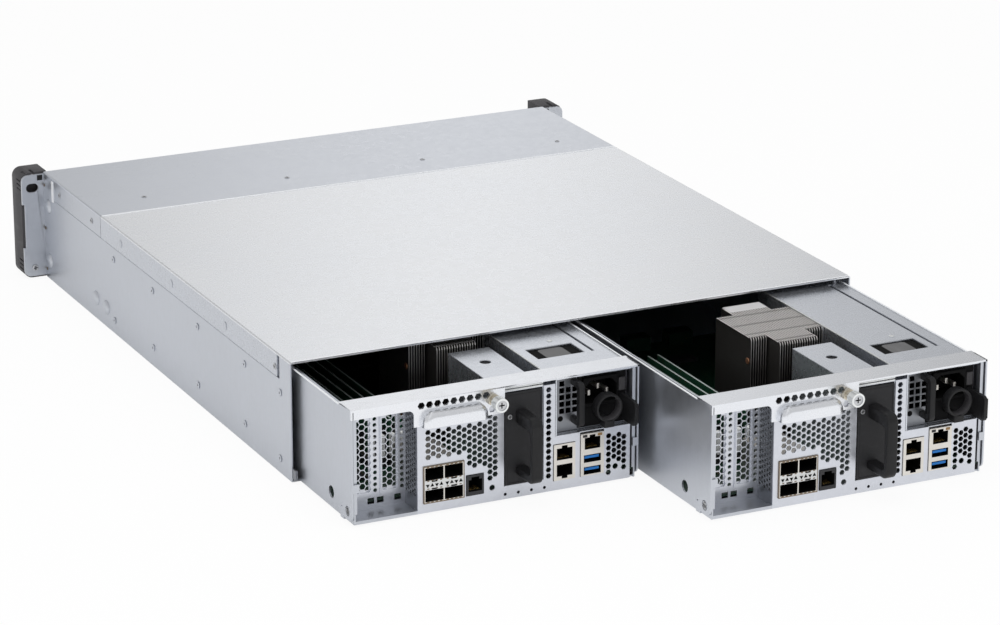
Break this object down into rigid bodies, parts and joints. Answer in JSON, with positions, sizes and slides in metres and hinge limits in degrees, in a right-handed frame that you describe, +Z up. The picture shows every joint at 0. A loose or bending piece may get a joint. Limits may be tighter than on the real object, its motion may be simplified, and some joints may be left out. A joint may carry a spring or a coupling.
{
  "type": "rackmount storage server",
  "caption": "Low rack-mounted storage server with a sheet steel case, drive carriers in front and sliding controller canisters with lever, power supply and battery at the rear.",
  "frame": {"origin": "on the resting plane, under the middle of the case without its ears", "axes": "+X across the case, to the left when seen from the rear's ports with the front away; +Y out of the rear; +Z up"},
  "size_m": [0.4826, 0.7528, 0.088],
  "materials": {
    "galvanised_steel": "satin zinc plated sheet",
    "cover_steel": "satin zinc plated sheet, lightly spangled",
    "front_cover_steel": "satin zinc plated sheet",
    "panel_steel": "satin zinc plated sheet, punched",
    "port_shell": "nickel plated shell",
    "circuit_board": "solder mask",
    "memory_board": "solder mask",
    "heatsink_aluminium": "rolled fins",
    "screw_steel": "turned, nickel plated",
    "black_plastic": "fine grained moulding",
    "battery_plastic": "fine grained moulding",
    "carrier_plastic": "moulded bezel on a sheet carrier"
  },
  "bodies": {
    "chassis": {"chassis_base": "galvanised_steel", "front_cover": "front_cover_steel", "rear_cover": "cover_steel", "rack_ears": "galvanised_steel", "ear_caps": "black_plastic", "drive_cage": "galvanised_steel", "midplane_board": "circuit_board", "bay_divider": "galvanised_steel"},
    "drive_01": {"drive_carrier_01": "carrier_plastic"},
    "drive_02": {"drive_carrier_02": "carrier_plastic"},
    "drive_03": {"drive_carrier_03": "carrier_plastic"},
    "drive_04": {"drive_carrier_04": "carrier_plastic"},
    "drive_05": {"drive_carrier_05": "carrier_plastic"},
    "drive_06": {"drive_carrier_06": "carrier_plastic"},
    "drive_07": {"drive_carrier_07": "carrier_plastic"},
    "drive_08": {"drive_carrier_08": "carrier_plastic"},
    "drive_09": {"drive_carrier_09": "carrier_plastic"},
    "drive_10": {"drive_carrier_10": "carrier_plastic"},
    "drive_11": {"drive_carrier_11": "carrier_plastic"},
    "drive_12": {"drive_carrier_12": "carrier_plastic"},
    "left_controller": {"left_tray": "galvanised_steel", "left_rear_panel": "panel_steel", "left_slot_covers": "panel_steel", "left_sfp_cage": "port_shell", "left_jacks": "port_shell", "left_mainboard": "circuit_board", "left_memory_modules": "memory_board", "left_heatsink": "heatsink_aluminium", "left_bay_frame": "galvanised_steel"},
    "left_lever": {"left_lever": "panel_steel"},
    "left_thumbscrew": {"left_thumbscrew": "screw_steel"},
    "left_psu": {"left_psu_case": "galvanised_steel", "left_power_inlet": "black_plastic", "left_psu_handle": "black_plastic", "left_cord_clamp": "black_plastic", "left_fan_frame": "black_plastic"},
    "left_psu_latch": {"left_psu_latch": "black_plastic"},
    "left_fan": {"left_fan_rotor": "black_plastic"},
    "left_bbu": {"left_bbu_case": "battery_plastic", "left_bbu_handle": "black_plastic"},
    "right_controller": {"right_tray": "galvanised_steel", "right_rear_panel": "panel_steel", "right_slot_covers": "panel_steel", "right_sfp_cage": "port_shell", "right_jacks": "port_shell", "right_mainboard": "circuit_board", "right_memory_modules": "memory_board", "right_heatsink": "heatsink_aluminium", "right_bay_frame": "galvanised_steel"},
    "right_lever": {"right_lever": "panel_steel"},
    "right_thumbscrew": {"right_thumbscrew": "screw_steel"},
    "right_psu": {"right_psu_case": "galvanised_steel", "right_power_inlet": "black_plastic", "right_psu_handle": "black_plastic", "right_cord_clamp": "black_plastic", "right_fan_frame": "black_plastic"},
    "right_psu_latch": {"right_psu_latch": "black_plastic"},
    "right_fan": {"right_fan_rotor": "black_plastic"},
    "right_bbu": {"right_bbu_case": "battery_plastic", "right_bbu_handle": "black_plastic"}
  },
  "joints": [
    {"name": "drive_01_slide", "type": "slide", "parent": "chassis", "child": "drive_01", "axis": [0, -1, 0], "range_m": [0, 0.165]},
    {"name": "drive_02_slide", "type": "slide", "parent": "chassis", "child": "drive_02", "axis": [0, -1, 0], "range_m": [0, 0.165]},
    {"name": "drive_03_slide", "type": "slide", "parent": "chassis", "child": "drive_03", "axis": [0, -1, 0], "range_m": [0, 0.165]},
    {"name": "drive_04_slide", "type": "slide", "parent": "chassis", "child": "drive_04", "axis": [0, -1, 0], "range_m": [0, 0.165]},
    {"name": "drive_05_slide", "type": "slide", "parent": "chassis", "child": "drive_05", "axis": [0, -1, 0], "range_m": [0, 0.165]},
    {"name": "drive_06_slide", "type": "slide", "parent": "chassis", "child": "drive_06", "axis": [0, -1, 0], "range_m": [0, 0.165]},
    {"name": "drive_07_slide", "type": "slide", "parent": "chassis", "child": "drive_07", "axis": [0, -1, 0], "range_m": [0, 0.165]},
    {"name": "drive_08_slide", "type": "slide", "parent": "chassis", "child": "drive_08", "axis": [0, -1, 0], "range_m": [0, 0.165]},
    {"name": "drive_09_slide", "type": "slide", "parent": "chassis", "child": "drive_09", "axis": [0, -1, 0], "range_m": [0, 0.165]},
    {"name": "drive_10_slide", "type": "slide", "parent": "chassis", "child": "drive_10", "axis": [0, -1, 0], "range_m": [0, 0.165]},
    {"name": "drive_11_slide", "type": "slide", "parent": "chassis", "child": "drive_11", "axis": [0, -1, 0], "range_m": [0, 0.165]},
    {"name": "drive_12_slide", "type": "slide", "parent": "chassis", "child": "drive_12", "axis": [0, -1, 0], "range_m": [0, 0.165]},
    {"name": "left_controller_slide", "type": "slide", "parent": "chassis", "child": "left_controller", "axis": [0, 1, 0], "range_m": [-0.0975, 0.2225]},
    {"name": "left_lever_hinge", "type": "hinge", "parent": "left_controller", "child": "left_lever", "pos_m": [0.1112, 0.345, 0.01], "axis": [1, 0, 0], "range_deg": [-60, 0]},
    {"name": "left_thumbscrew_turn", "type": "hinge", "parent": "left_lever", "child": "left_thumbscrew", "pos_m": [0.1153, 0.353, 0.077], "axis": [0, 1, 0], "continuous": true},
    {"name": "left_psu_slide", "type": "slide", "parent": "left_controller", "child": "left_psu", "axis": [0, 1, 0], "range_m": [0, 0.205]},
    {"name": "left_psu_latch_hinge", "type": "hinge", "parent": "left_psu", "child": "left_psu_latch", "pos_m": [0.012, 0.3375, 0.0546], "axis": [0, 0, -1], "range_deg": [0, 6], "stiffness_Nm_per_rad": 0.2},
    {"name": "left_fan_spin", "type": "hinge", "parent": "left_psu", "child": "left_fan", "pos_m": [0.03605, 0.1495, 0.0613], "axis": [0, 1, 0], "continuous": true},
    {"name": "left_bbu_slide", "type": "slide", "parent": "left_controller", "child": "left_bbu", "axis": [0, 1, 0], "range_m": [0, 0.092]},
    {"name": "right_controller_slide", "type": "slide", "parent": "chassis", "child": "right_controller", "axis": [0, 1, 0], "range_m": [-0.1925, 0.1275]},
    {"name": "right_lever_hinge", "type": "hinge", "parent": "right_controller", "child": "right_lever", "pos_m": [-0.1112, 0.44, 0.01], "axis": [1, 0, 0], "range_deg": [-60, 0]},
    {"name": "right_thumbscrew_turn", "type": "hinge", "parent": "right_lever", "child": "right_thumbscrew", "pos_m": [-0.1071, 0.448, 0.077], "axis": [0, 1, 0], "continuous": true},
    {"name": "right_psu_slide", "type": "slide", "parent": "right_controller", "child": "right_psu", "axis": [0, 1, 0], "range_m": [0, 0.205]},
    {"name": "right_psu_latch_hinge", "type": "hinge", "parent": "right_psu", "child": "right_psu_latch", "pos_m": [-0.2104, 0.4325, 0.0546], "axis": [0, 0, -1], "range_deg": [0, 6], "stiffness_Nm_per_rad": 0.2},
    {"name": "right_fan_spin", "type": "hinge", "parent": "right_psu", "child": "right_fan", "pos_m": [-0.18635, 0.2445, 0.0613], "axis": [0, 1, 0], "continuous": true},
    {"name": "right_bbu_slide", "type": "slide", "parent": "right_controller", "child": "right_bbu", "axis": [0, 1, 0], "range_m": [0, 0.092]}
  ]
}
